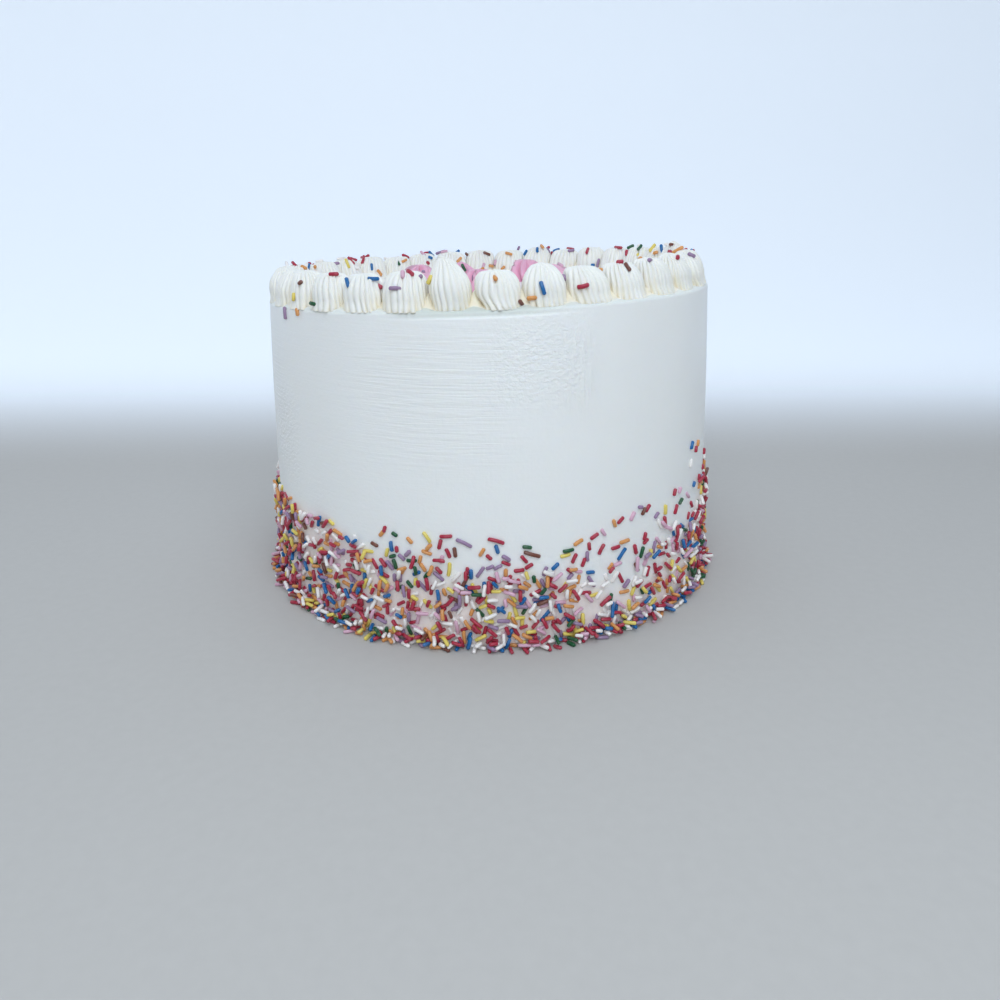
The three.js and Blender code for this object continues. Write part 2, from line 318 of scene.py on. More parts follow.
# Sprinkles that lie where they can be told apart, by colour: x and y in the camera's picture of
# 1000 by 1000, turn in degrees anticlockwise from level, and length in millimetres.
RING_PLACED = {
    "crimson": [
        (294, 265, 95, 3.3), (334, 275, -15, 3.2), (379, 286, -25, 2.8), (411, 273, -30, 3.2),
        (583, 286, 12, 3.5), (588, 251, 70, 2.8), (620, 263, -20, 2.2), (627, 253, 85, 2.6),
        (677, 258, 60, 1.9),
    ],
    "blue": [
        (309, 268, 100, 3.8), (348, 283, -70, 3.3), (371, 267, -30, 3.0), (374, 279, -12, 3.8),
        (430, 258, 0, 2.2), (526, 253, 50, 2.8), (537, 250, 90, 2.4), (543, 288, -75, 3.9),
        (593, 265, 0, 1.8), (662, 249, 80, 3.6),
    ],
    "green": [
        (314, 304, -15, 3.0), (399, 263, -45, 3.0), (463, 268, -45, 3.3), (640, 248, 75, 3.2),
    ],
    "orange": [
        (304, 268, 150, 2.6), (298, 312, 90, 2.5), (379, 273, -30, 3.1), (404, 261, 30, 3.0),
        (459, 260, 45, 3.3), (491, 266, -10, 2.4), (496, 278, -8, 2.6), (503, 268, 40, 2.4),
        (532, 298, 5, 3.1), (602, 270, -10, 2.2), (656, 253, 0, 2.2),
    ],
    "brown": [
        (301, 283, 20, 1.9), (520, 303, 0, 2.4), (628, 267, -55, 3.0), (671, 245, 0, 2.2),
    ],
    "yellow": [
        (294, 297, 80, 2.6), (430, 280, 60, 2.8), (638, 254, 10, 2.6),
    ],
    "mauve": [
        (286, 313, 75, 3.9), (395, 289, 0, 3.5), (420, 277, 20, 2.0), (473, 278, 80, 2.4),
        (565, 278, -40, 2.6), (571, 251, 10, 3.0), (598, 263, 80, 3.6), (691, 256, -20, 2.8),
        (649, 261, 30, 2.6),
    ],
    "pink": [
        (402, 275, 80, 2.6), (483, 268, 50, 4.6),
    ],
}
BAND_PLACED = {
    "crimson": [
        (385, 529, 65, 2.3), (397, 549, 88, 2.1), (446, 536, 5, 3.9), (440, 544, 75, 3.3),
        (448, 553, -70, 3.3), (439, 570, -50, 2.8), (496, 541, -17, 5.2), (489, 557, -45, 2.3),
        (506, 563, -25, 3.0), (524, 559, -50, 3.1), (519, 570, 5, 3.3), (550, 580, 75, 3.3),
        (467, 571, 80, 2.8), (491, 588, -85, 3.3), (519, 583, -75, 3.3), (511, 583, 55, 3.1),
        (695, 449, 85, 2.3), (703, 451, 90, 2.4), (698, 477, 80, 2.4), (674, 492, 85, 2.6),
        (675, 509, 75, 3.5), (647, 508, 50, 3.0), (620, 520, 40, 3.0), (594, 536, 30, 3.2),
        (589, 546, -75, 2.7), (601, 549, 65, 3.8), (574, 558, 70, 3.4), (583, 562, 75, 3.0),
        (615, 547, 5, 3.4), (644, 536, 85, 2.8), (645, 541, 30, 2.6), (664, 521, -60, 3.7),
        (569, 570, -35, 2.2), (296, 508, 60, 4.0),
    ],
    "orange": [
        (382, 533, 45, 2.6), (410, 540, -50, 2.6), (429, 547, 50, 2.8), (427, 552, -20, 3.4),
        (420, 559, 70, 2.8), (423, 567, -60, 3.2), (404, 570, 55, 2.9), (482, 552, 60, 3.0),
        (697, 443, 80, 2.4), (614, 523, -60, 2.8), (578, 542, 30, 3.5), (624, 541, 5, 4.0),
        (578, 579, 85, 3.1),
    ],
    "green": [
        (395, 534, -30, 2.2), (393, 556, 20, 2.5), (412, 560, 4, 3.4), (427, 575, 55, 2.7),
        (527, 547, -10, 3.0), (680, 501, 30, 2.8), (568, 550, 5, 3.7), (641, 552, 80, 4.0),
        (292, 525, 60, 3.0),
    ],
    "blue": [
        (392, 546, 90, 3.5), (497, 549, -75, 3.0), (555, 566, 45, 3.0), (471, 574, 90, 3.3),
        (470, 590, -50, 4.3), (484, 585, 85, 2.5), (691, 445, 65, 3.0), (693, 484, 40, 2.2),
        (590, 572, -5, 3.0), (348, 539, -50, 2.6), (320, 521, 50, 4.2), (287, 503, -60, 2.6),
    ],
    "mauve": [
        (408, 553, 45, 2.7), (402, 557, -40, 2.8), (464, 543, -27, 5.3), (506, 558, -35, 3.1),
        (490, 567, 25, 2.7), (498, 567, 30, 2.9), (545, 571, 75, 3.3), (543, 583, -60, 3.6),
        (640, 507, -10, 2.2), (587, 556, -80, 3.4), (656, 515, 40, 2.6), (591, 581, -50, 4.6),
    ],
    "yellow": [
        (427, 537, -60, 4.0), (449, 569, 82, 4.6), (565, 555, 10, 3.4), (332, 522, -20, 2.8),
    ],
    "brown": [
        (455, 552, -85, 3.3), (532, 554, -20, 5.4), (465, 581, 65, 4.1), (643, 511, 60, 2.8),
        (375, 544, -20, 2.8),
    ],
    "pink": [
        (442, 559, 75, 2.8), (389, 564, -50, 3.6), (679, 490, 60, 2.4), (632, 516, 65, 3.2),
        (603, 532, -50, 2.8),
    ],
    "white": [
        (690, 463, 85, 3.0), (361, 546, 30, 3.8),
    ],
}


def scrambled(seed):
    """A repeatable number from -1 to 1 for each seed, unlike that of the seeds beside it."""
    wild = np.sin(seed) * 43758.5453
    return 2 * (wild - np.floor(wild)) - 1


def vary(piece, trait):
    """A repeatable number from -1 to 1 for one trait of one piece."""
    return float(scrambled(piece * 12.9898 + trait * 78.233))


def unit(vector):
    """The vector at a length of one."""
    return vector / np.linalg.norm(vector)


def level_way(angle):
    """The level direction at an angle, in radians."""
    return np.array([math.cos(angle), math.sin(angle), 0.0])


def round_from(degrees, start):
    """How far round the cake an angle is from the start, from -180 to 180 degrees."""
    return (degrees - start + 180) % 360 - 180


def ramp(value, start, length):
    """0 up to the start, and climbing from there to 1 over the length."""
    return np.clip((value - start) / length, 0, 1)


def bell(distance, reach, power=2):
    """1 at no distance, fading to a third at the reach; a higher power has a flatter top."""
    return np.exp(-(distance / reach) ** power)


def waves(angle, height, kinds):
    """Gentle waves round the cake, added up; the angle is in radians."""
    return sum(depth * np.sin(count * angle + start + height / rise)
               for count, depth, start, rise in kinds)


# ---- Shape of the coat ----
def wall_radius(height):
    """The coat's radius at a height."""
    share = np.clip(height / CAKE_HEIGHT, 0, 1)
    return BASE_RADIUS - (BASE_RADIUS - TOP_RADIUS) * share ** TAPER_POWER


def top_height(x, y):
    """The tilted top's height."""
    return CAKE_HEIGHT + TOP_RISE_X * x + TOP_RISE_Y * y


def wall_point(angle, height):
    """A point on the coat's wall and the direction out of it; the angle is in radians."""
    radius = wall_radius(height) + waves(angle, height, WALL_WAVES)
    slope = (wall_radius(height - 1) - wall_radius(height + 1)) / 2
    return radius * level_way(angle) + UP * height, unit(level_way(angle) + UP * slope)


def mesh_of(name, bm):
    """Makes a mesh of a finished bmesh."""
    mesh = bpy.data.meshes.new(name)
    bm.to_mesh(mesh)
    bm.free()
    return mesh


def piece_of(mesh, material):
    """Makes an object of a finished mesh, under the mesh's name."""
    piece = bpy.data.objects.new(mesh.name, mesh)
    bpy.context.collection.objects.link(piece)
    mesh.materials.append(material)
    mesh.polygons.foreach_set("use_smooth", [True] * len(mesh.polygons))
    mesh.update()
    return piece


def spun(outline, steps):
    """A closed bmesh: the outline of radius and height turned once round the Z axis."""
    bm = bmesh.new()
    line = [bm.verts.new((radius, 0, height)) for radius, height in outline]
    edges = [bm.edges.new(pair) for pair in zip(line, line[1:])]
    bmesh.ops.spin(bm, geom=line + edges, cent=(0, 0, 0), axis=(0, 0, 1), angle=math.tau,
                   steps=steps, use_merge=True)
    bmesh.ops.remove_doubles(bm, verts=bm.verts, dist=1e-5)
    bmesh.ops.recalc_face_normals(bm, faces=bm.faces)
    return bm


def points_of(mesh):
    """The mesh's points, one row for each."""
    places = np.empty(len(mesh.vertices) * 3)
    mesh.vertices.foreach_get("co", places)
    return places.reshape(-1, 3)


def set_points(mesh, places):
    """Moves the mesh's points, one row for each."""
    mesh.vertices.foreach_set("co", places.ravel())
    mesh.update()


def set_amount(mesh, name, amounts):
    """Stores one number a vertex for the material to read."""
    mesh.attributes.new(name, "FLOAT", "POINT").data.foreach_set("value", np.clip(amounts, 0, 1))


# ---- Materials ----
def colour(code):
    """An sRGB hex value as linear red, green, blue and alpha."""
    parts = [int(code[i:i + 2], 16) / 255 for i in (1, 3, 5)]
    return [p / 12.92 if p <= 0.04045 else ((p + 0.055) / 1.055) ** 2.4 for p in parts] + [1.0]


def add_node(tree, kind, inputs=None, **fields):
    """Adds a node. Each input is a value or another node's output; fields are the node's own."""
    node = tree.nodes.new(kind)
    for field, value in fields.items():
        setattr(node, field, value)
    for socket, value in (inputs or {}).items():
        if isinstance(value, bpy.types.NodeSocket):
            tree.links.new(value, node.inputs[socket])
        else:
            node.inputs[socket].default_value = value
    return node


def add_noise(tree, place, scale, detail, roughness=0.5):
    """A noise from 0 to 1 at each place."""
    return add_node(tree, "ShaderNodeTexNoise", {"Vector": place, "Scale": scale, "Detail": detail,
                                                 "Roughness": roughness}).outputs["Fac"]


def combine(tree, operation, one, other, **fields):
    """Two values added or multiplied."""
    return add_node(tree, "ShaderNodeMath", {0: one, 1: other}, operation=operation,
                    **fields).outputs["Value"]


def span(tree, value, low, high, start=0.0, end=1.0, **fields):
    """The value's way from start to end, turned into the way from low to high."""
    return add_node(tree, "ShaderNodeMapRange",
                    {"Value": value, "From Min": start, "From Max": end, "To Min": low,
                     "To Max": high}, **fields).outputs["Result"]


def blend(tree, amount, *shades):
    """A colour between two, each a hex value or another node's output."""
    first, second = (colour(shade) if isinstance(shade, str) else shade for shade in shades)
    return add_node(tree, "ShaderNodeMix", {0: amount, 6: first, 7: second},
                    data_type="RGBA").outputs[2]


def bumps(tree, height, strength, depth):
    """Relief by the height of a pattern, which stands for that many millimetres."""
    return add_node(tree, "ShaderNodeBump", {"Height": height, "Strength": strength,
                                             "Distance": depth * MM}).outputs["Normal"]


def new_material(name):
    """An empty material, its node tree, and the places on the piece for its patterns."""
    material = bpy.data.materials.new(name)
    material.use_nodes = True
    tree = material.node_tree
    tree.nodes.clear()
    return material, tree, add_node(tree, "ShaderNodeTexCoord").outputs["Object"]


def finish_material(tree, inputs):
    """Closes a material with its surface shader."""
    shader = add_node(tree, "ShaderNodeBsdfPrincipled", inputs)
    add_node(tree, "ShaderNodeOutputMaterial", {"Surface": shader.outputs["BSDF"]})


def grain(*sizes):
    """A pattern's scale for features of that many millimetres, or of as many along X, Y and Z."""
    scales = [1 / (size * MM) for size in sizes]
    return scales[0] if len(scales) == 1 else scales


def scraped_buttercream():
    """American buttercream whipped white and drawn smooth with a bench scraper: a soft sheen."""
    material, tree, place = new_material("scraped_buttercream")
    patches = add_noise(tree, place, grain(26), 1.0)
    marks = {name: add_node(tree, "ShaderNodeAttribute", attribute_name=name).outputs["Fac"]
             for name in ("warm_shade", "edge_shade", "stained", "rippled", "torn", "dragged")}

    def mark(amount, everywhere, scale, detail, height):
        """A noise stretched along the scraper's path, strong at the mark and faint elsewhere."""
        path = add_node(tree, "ShaderNodeMapping", {"Vector": place, "Scale": scale})
        noise = add_noise(tree, path.outputs["Vector"], 1.0, detail, 0.6)
        return combine(tree, "MULTIPLY", noise, span(tree, amount, everywhere * height, height))

    # Level ripples 0.9 mm apart and a centimetre or two long, a torn skin of 1 mm flakes, upright
    # drag lines, and whipped-in air, drawn at 1 mm where the real bubbles are 0.3 mm.
    relief = mark(marks["rippled"], 0.15, grain(17, 17, 0.87), 2.0, 0.65)
    for part in (mark(marks["torn"], 0.1, grain(1.4, 1.4, 1), 2.0, 1.1),
                 mark(marks["dragged"], 0.06, grain(1.1, 1.1, 11), 1.0, 1.2),
                 mark(patches, 0.4, grain(1.1, 1.1, 1.1), 3.0, 0.2)):
        relief = combine(tree, "ADD", relief, part)
    # White, a little warmer in patches; then a painted warm shade, butter yellow, on the seat under
    # the dollops, painted grey shade on the top edge and the step under their overhang, and the
    # faint pink of the sprinkles' dye.
    tint = blend(tree, patches, "#F7F6F2", "#FAFAF7")
    for name, code in (("warm_shade", "#F9EED6"), ("edge_shade", "#D6DBD3"), ("stained", "#FBEEE8")):
        tint = blend(tree, marks[name], tint, code)
    finish_material(tree, {
        "Base Color": tint, "Roughness": span(tree, patches, 0.46, 0.34), "IOR": BUTTERCREAM_IOR,
        "Normal": bumps(tree, relief, 0.9, 0.45), "Subsurface Weight": 0.2,
        "Subsurface Radius": (2.4, 2.0, 1.5), "Subsurface Scale": MM})
    return material


def piped_buttercream(name, crest, shade_colour):
    """Buttercream pressed through a fine star nozzle: soft, a little translucent; the second colour
    is painted shade.
    """
    material, tree, place = new_material(name)
    warm_shade = add_node(tree, "ShaderNodeAttribute", attribute_name="warm_shade").outputs["Fac"]
    # Painted warm shade, butter yellow, in the grooves, at the feet and where neighbours meet,
    # unevenly.
    depth = combine(tree, "ADD", add_noise(tree, place, grain(3.8), 2.0), 0.5)
    amount = combine(tree, "MULTIPLY", warm_shade, depth, use_clamp=True)
    # Fine tears along the ridges and trapped air, about 0.7 mm.
    tears = add_noise(tree, place, grain(0.7), 2.0, 0.6)
    finish_material(tree, {
        "Base Color": blend(tree, amount, crest, shade_colour), "Roughness": 0.42, "IOR": BUTTERCREAM_IOR,
        "Normal": bumps(tree, tears, 0.5, 0.12), "Subsurface Weight": 0.22,
        "Subsurface Radius": (2.2, 1.9, 1.3), "Subsurface Scale": MM})
    return material


def sugar_sprinkle(name, code):
    """Extruded sugar paste under confectioner's glaze: waxy and finely pitted."""
    material, tree, place = new_material(name)
    # A paler bloom in patches of 1.4 mm.
    bloom = span(tree, add_noise(tree, place, grain(1.4), 2.0), 0.0, 0.1, 0.45, 0.8)
    pits = add_noise(tree, place, grain(0.42), 1.0)
    finish_material(tree, {
        "Base Color": blend(tree, bloom, code, "#F4ECE4"), "Roughness": 0.34, "IOR": SUGAR_IOR,
        "Normal": bumps(tree, pits, 0.35, 0.08)})
    return material


# ---- The coat ----
def coat_outline():
    """Radius and height from the middle of the top, over its edge and down to the underside."""
    flat = TOP_RADIUS - EDGE_ROUND
    radii = [SEAT_START * i / TOP_RINGS for i in range(TOP_RINGS)]
    radii += [SEAT_START + (flat - SEAT_START) * i / SEAT_RINGS for i in range(SEAT_RINGS + 1)]
    line = [(radius, CAKE_HEIGHT) for radius in radii]
    edge = CAKE_HEIGHT - EDGE_ROUND
    for a in (math.radians(turn) for turn in (22.5, 45, 67.5)):
        line.append((flat + EDGE_ROUND * math.sin(a), edge + EDGE_ROUND * math.cos(a)))
    heights = [edge - EDGE_DEEP * i / EDGE_ROWS for i in range(EDGE_ROWS)]
    heights += [(edge - EDGE_DEEP) * (1 - i / COAT_ROWS) for i in range(COAT_ROWS + 1)]
    line += [(float(wall_radius(height)), height) for height in heights]
    return line + [(BASE_RADIUS * share, 0) for share in UNDERSIDE_RINGS]


def marked(marks, angle, height):
    """How strongly the scraper marked each point of the wall, 0 to 1; the angle is in radians."""
    strongest = np.zeros_like(height)
    for degrees, middle, wide, tall in marks:
        across_it = np.radians(round_from(np.degrees(angle), degrees)) * BASE_RADIUS
        strongest = np.maximum(strongest, bell(across_it, wide, 4) * bell(height - middle, tall, 4))
    return strongest


def make_coat(material):
    """The scraped wall with its waves and step, and the tilted top with its web of buttercream."""
    coat = piece_of(mesh_of("buttercream_coat", spun(coat_outline(), COAT_STEPS)), material)
    x, y, z = points_of(coat.data).T
    angle, radius = np.arctan2(y, x), np.hypot(x, y)
    out = np.clip(radius / wall_radius(z), 0, 1)
    wall, top = out > 0.99, z > CAKE_HEIGHT - 0.01
    step = (bell(round_from(np.degrees(angle), STEP_ANGLE), STEP_WIDE, 4)
            * ramp(z, CAKE_HEIGHT - STEP_DEEP, STEP_EDGE))
    moved = radius + waves(angle, z, WALL_WAVES) * out
    moved += waves(angle, z, WALL_FACETS) * out ** 4 * ramp(z, 0, FACETS_RISE)
    moved -= STEP_IN * step * ramp(radius, STEP_START, STEP_RUN)
    swell = TOP_SWELL * np.sin(x / TOP_SWELL_LONG + 1) * np.sin(y / TOP_SWELL_WIDE)
    # Places along the ring of dollops, as a turn between two of them, and across it.
    from_x, from_y = x - DOLLOP_RING_CENTRE[0], y - DOLLOP_RING_CENTRE[1]
    turns = (np.degrees(np.arctan2(from_y, from_x)) - DOLLOP_FIRST_ANGLE) * DOLLOP_COUNT / 360
    midway = (turns - np.floor(turns) - 0.5) * 360 / DOLLOP_COUNT
    inside = np.hypot(from_x, from_y) - DOLLOP_RING_RADIUS
    web = bell(midway, WEB_HALF_ANGLE) * bell(inside + WEB_INSET, WEB_WIDTH)
    height = z * top_height(x, y) / CAKE_HEIGHT
    height += top * (swell * (radius < RIM_START) + WEB_HEIGHT * web)
    scale = moved / np.maximum(radius, 1e-6)
    set_points(coat.data, np.stack([x * scale, y * scale, height], 1) * MM)
    thick, _ = band_at(np.degrees(angle))
    # Painted grey shade on the top edge and the step, under the dollops' overhang.
    edge_and_step_shade = EDGE_SHADE_AMOUNT * bell(CAKE_HEIGHT - z, EDGE_SHADE_HEIGHT) + STEP_SHADE_AMOUNT * step
    # Painted warm shade on the seat under the dollops.
    amounts = {"warm_shade": bell(inside, SEAT_HALF_WIDTH, 10) * top,
               "edge_shade": edge_and_step_shade * (radius > RIM_START),
               "stained": (1 - ramp(z, thick - DYE_RUN, 2 * DYE_RUN)) * wall}
    for name, marks in (("rippled", RIPPLED), ("torn", TORN), ("dragged", DRAGGED)):
        amounts[name] = marked(marks, angle, z) * wall
    for name, amount in amounts.items():
        set_amount(coat.data, name, amount)
    return coat


# ---- The piped dollops ----
def smooth_line(points, between):
    """The points joined by a smooth curve, with that many steps from each to the next."""
    p = np.array([points[0], *points, points[-1]], float)
    line = []
    for a, b, c, d in zip(p, p[1:], p[2:], p[3:]):
        for t in np.linspace(0, 1, between, endpoint=False):
            line.append(0.5 * (2 * b + (c - a) * t + (2 * a - 5 * b + 4 * c - d) * t ** 2
                               + (3 * b - a - 3 * c + d) * t ** 3))
    return line + [p[-1]]


def unit_dollop(shares, ridges):
    """A plain dollop one high and one in radius, with columns for that many ridges."""
    line = smooth_line(shares, 3)
    outline = [(0, 0), (0.4, 0)] + [(max(0.0, radius), height) for height, radius in line]
    outline[-1] = (0, 1)
    return mesh_of("dollop", spun(outline, ridges * RIDGE_STEPS))


def top_frame():
    """Carries a point of the level top at height 0 to the cake's tilted top, in millimetres."""
    up = Vector((-TOP_RISE_X, -TOP_RISE_Y, 1)).normalized()
    turn = Vector((0, 0, 1)).rotation_difference(up).to_matrix().to_4x4()
    return Matrix.Translation((0, 0, CAKE_HEIGHT)) @ turn


def pressed(x, y):
    """Flattens a dollop of the ring where it presses on its neighbours, halfway to each."""
    half = math.pi / DOLLOP_COUNT
    share = np.arctan2(y, DOLLOP_RING_RADIUS + x) / half
    soft = 1 - CONTACT_START
    over = np.maximum(np.abs(share) - CONTACT_START, 0) / soft
    turn = half * np.where(over > 0, np.sign(share) * (CONTACT_START + soft * np.tanh(over)), share)
    reach = np.hypot(DOLLOP_RING_RADIUS + x, y)
    return reach * np.cos(turn) - DOLLOP_RING_RADIUS, reach * np.sin(turn)


def uneven(around, piece, kinds):
    """The waves round one dollop, added up."""
    return sum(size * np.sin(count * around + shift * piece) for count, size, shift in kinds)


def make_dollop(name, plain, piece, place, material, ridges, depth, radius, height, lean, sweep,
                pointed=0.0, inset=0.0, ring=False):
    """Shapes the plain dollop: ridges that sweep as they rise, spread toes and a bent peak."""
    mesh = plain.copy()
    mesh.name = name
    x, y, t = points_of(mesh).T
    around, share = np.arctan2(y, x), np.hypot(x, y)
    # A pointed dollop is slimmer above its middle.
    plump, fine = (np.interp(t, *zip(*outline)) for outline in (ROUND_OUTLINE, POINTED_OUTLINE))
    slim = 1 + pointed * (np.where(t < 0.99, fine / np.maximum(plump, 0.01), 1) - 1)
    # Each ridge has its own luck, which makes its groove and its toe more or less than the next.
    crest = np.abs(np.cos(ridges * around / 2))
    which = np.floor(ridges * (around + math.pi) / math.tau + 0.5) % ridges
    luck = scrambled(which * 12.9898 + piece * 4.137)
    deeper = TOP_GROOVES * ring * ramp(t, TOP_GROOVES_START, TOP_GROOVES_RUN)
    grooves = (1 + GROOVES_VARY * luck) * (1 + deeper)
    section = 1 - depth * grooves * (1 - crest) ** RIDGE_SHARPNESS
    outward = 1 + uneven(around, piece, BULGES)
    outward += np.exp(-t / TOE_HEIGHT) * (TOE_SPREAD + TOE_VARIES * luck) * crest
    if ring:
        # Its neighbours leave each dollop a squarish place, which the foot fills.
        corner = 2 + FOOT_SQUARE * bell(t, FOOT_SQUARE_HEIGHT)
        squared = np.abs(np.cos(around)) ** corner + np.abs(np.sin(around)) ** corner
        outward *= squared ** (-1 / corner)
    else:
        outward += PINK_RAGGED * luck * crest * t
    reach = radius * share * slim * section * outward
    # The nozzle turns as the paste spreads: the ridges run back at the foot and bend on the way.
    turned = around + sweep * np.exp(-t / SWEEP_HEIGHT)
    turned += TOP_SWEEP * sweep * ramp(t, TOP_SWEEP_START, 1 - TOP_SWEEP_START)
    turned += uneven(around, piece, TURNS)
    turned += WANDER * np.sin(8 * t + 2 * around + 3 * piece) * (1 - t)
    bend = t ** (3 if ring else 2)
    px = reach * np.cos(turned)
    if ring:
        px *= DOLLOP_DEPTH * (1 + FOOT_FILL * bell(t, FOOT_FILL_HEIGHT)) * (1 - TOP_PINCH * t ** 2)
    px += lean[0] * bend + SWAY * np.sin(t * 7 + piece * 1.7) * t
    py = reach * np.sin(turned) + lean[1] * bend
    if ring:
        # The bag pulls back as each one swells, so its foot lies a little ahead of its body.
        ahead, foot = vary(piece, 8), bell(t, FOOT_HEIGHT)
        py = py * (1 - FOOT_NARROW * max(0.0, ahead) * foot) + FOOT_SHIFT * (1 + ahead) * foot
        px, py = pressed(px - inset * foot, py)
    ragged = RAGGED * (1 - t) if ring else PINK_RAGGED * np.sin(math.pi * t) * crest
    pz = t * height * (1 + ragged * luck) - SEAT_SINK
    local = np.stack([px, py, pz, np.ones_like(px)], 1)
    set_points(mesh, (local @ np.array(place).T)[:, :3] * MM)
    # Painted warm shade, butter yellow: low down, most where neighbours meet, and faintly in the
    # grooves.
    amount = FOOT_WARM_SHADE[0] * np.exp(-t / FOOT_WARM_SHADE[1])
    amount += SIDE_WARM_SHADE[0] * np.sin(around) ** 2 * bell(t, SIDE_WARM_SHADE[1])
    grooves = GROOVE_WARM_SHADE + LOW_GROOVE_WARM_SHADE[0] * np.exp(-t / LOW_GROOVE_WARM_SHADE[1])
    set_amount(mesh, "warm_shade", amount + (1 - crest) ** 2 * grooves)
    return piece_of(mesh, material)


def make_dollops(material, pink):
    """The ring of white dollops, then the small pink ones, each standing for its own node."""
    made = []
    plain = unit_dollop(ROUND_OUTLINE, DOLLOP_RIDGES)
    plain_pink = unit_dollop(PINK_OUTLINE, PINK_RIDGES)
    top = top_frame()
    for i in range(DOLLOP_COUNT):
        tallness = vary(i, HEIGHT_SEED)
        pulled = max(0.0, tallness) ** PULLED_RARITY
        pointed = max(0.0, tallness) ** POINTED_RARITY
        height = DOLLOP_HEIGHT + DOLLOP_HEIGHT_SPREAD * tallness + PULLED_PEAK * pulled
        lean = (-PEAK_INWARD * (1 + vary(i, 2)),
                -(PEAK_BACK + PEAK_PULLED_BACK * pulled + PEAK_SPREAD * vary(i, 3)))
        angle = math.radians(DOLLOP_FIRST_ANGLE + 360 * i / DOLLOP_COUNT)
        inset = FOOT_INSET * max(0.0, math.cos(angle - math.radians(FOOT_INSET_ANGLE))) ** 4
        place = (top @ Matrix.Translation((*DOLLOP_RING_CENTRE, 0)) @ Matrix.Rotation(angle, 4, "Z")
                 @ Matrix.Translation((DOLLOP_RING_RADIUS, 0, 0)))
        radius = DOLLOP_RADIUS * (1 + DOLLOP_RADIUS_SPREAD * vary(i, 5))
        sweep = FOOT_SWEEP * (1 + SWEEP_VARIES * vary(i, 4))
        piece = make_dollop(f"piped_dollop_{i + 1:02d}", plain, i, place, material, DOLLOP_RIDGES,
                            RIDGE_DEPTH, radius, height, lean, sweep, pointed, inset, ring=True)
        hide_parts(f"dollop_{i + 1:02d}")
        made.append(piece)
    for k in range(PINK_RING_COUNT + 1):
        i = k + DOLLOP_COUNT
        centre = k == PINK_RING_COUNT
        angle = math.radians(PINK_FIRST_ANGLE + 360 / PINK_RING_COUNT * k
                             + PINK_ANGLE_SPREAD * vary(i, 5))
        reach = 0 if centre else PINK_RING_RADIUS + PINK_RING_SPREAD * vary(i, 6)
        place = (top @ Matrix.Translation((PINK_CENTRE_X, 0, 0)) @ Matrix.Rotation(angle, 4, "Z")
                 @ Matrix.Translation((reach, 0, 0)))
        piece = make_dollop(f"pink_piped_dollop_{k + 1}", plain_pink, i, place, pink, PINK_RIDGES,
                            PINK_RIDGE_DEPTH, PINK_RADIUS * (1 + PINK_RADIUS_SPREAD * vary(i, 1)),
                            PINK_HEIGHT + PINK_HEIGHT_SPREAD * vary(i, 2),
                            (PINK_LEAN * vary(i, 3), PINK_LEAN * vary(i, 4)), PINK_SWEEP)
        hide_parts(f"pink_dollop_{k + 1}")
        made.append(piece)
    return made


# ---- The sprinkles ----
class Scatter:
    """Keeps every sprinkle that lies on the cake, and says whether a new one has room."""

    def __init__(self):
        self.laid = {name: [] for name in SPRINKLE_COLOURS}
        self.spines = np.empty((0, SPINE_POINTS, 3))

    def spine_of(self, middle, along, length):
        """Points on the middle line, from the middle of one round end to that of the other."""
        reach = (length / 2 - SPRINKLE_RADIUS) * np.linspace(-1, 1, SPINE_POINTS)
        return middle + reach[:, None] * along

    def room(self, spine, nearest):
        """Whether the new one's middle line keeps that far from all the others."""
        half = SPINE_POINTS // 2
        near = self.spines[np.abs(self.spines[:, half] - spine[half]).max(1) < OUT_OF_REACH]
        gaps = near[:, :, None] - spine[None, None]
        return not len(near) or float((gaps ** 2).sum(-1).min()) > nearest ** 2

    def lay(self, middle, along, up, length, shade, nearest=0.0):
        """Lays a sprinkle there unless another is in its way."""
        spine = self.spine_of(middle, along, length)
        if nearest and not self.room(spine, nearest):
            return False
        self.spines = np.concatenate([self.spines, spine[None]])
        self.laid[shade].append((middle, along, up, length))
        return True


def across(direction, normal):
    """The direction laid flat in the plane that the normal stands on."""
    return unit(direction - normal * (direction @ normal))


def draw_colour(chance, pale=0.0):
    """A sprinkle colour by its share of the mix; pale adds to the share of white."""
    names = list(SPRINKLE_COLOURS)
    shares = [SPRINKLE_COLOURS[name][1] + (pale if name == "white" else 0) for name in names]
    return chance.choices(names, shares)[0]


def draw_length(chance):
    """A sprinkle's length: snapped anywhere between the usual limits, and now and then longer."""
    length = chance.uniform(*SPRINKLE_LENGTH)
    return length + LONG_EXTRA if chance.random() < LONG_SHARE else length


def camera_axes():
    """The camera's right, up and forward directions."""
    down, right, roll = (math.radians(a) for a in (CAMERA_DOWN, CAMERA_RIGHT, CAMERA_ROLL))
    forward = np.array([math.sin(right) * math.cos(down), math.cos(right) * math.cos(down),
                        -math.sin(down)])
    level = level_way(-right)
    up = np.cross(level, forward)
    return (math.cos(roll) * level + math.sin(roll) * up,
            -math.sin(roll) * level + math.cos(roll) * up, forward)


def lay_placed(scatter, placed, ground):
    """Lays sprinkles given by their place in the camera's picture on what it sees there."""
    right, up, forward = camera_axes()
    eye = np.array(CAMERA_PLACE)
    focal = CAMERA_LENS / CAMERA_SENSOR * IMAGE_SIDE
    half = IMAGE_SIDE / 2
    for shade, sprinkles in placed.items():
        for x, y, turn, length in sprinkles:
            look = unit(forward + right * (x - half) / focal + up * (half - y) / focal)
            hit, normal, _, _ = ground.ray_cast(Vector(eye), Vector(look))
            if hit is None:
                continue
            normal = np.array(normal)
            a = math.radians(turn)
            along = across(math.cos(a) * right + math.sin(a) * up, normal)
            scatter.lay(np.array(hit) + normal * PLACED_OUT, along, normal, length, shade)


def band_at(degrees):
    """How high the sprinkles lie thick on the wall, and where the last of them are."""
    from_front = round_from(degrees, FRONT)
    turns, thick, last = zip(*BAND)
    return np.interp(from_front, turns, thick), np.interp(from_front, turns, last)


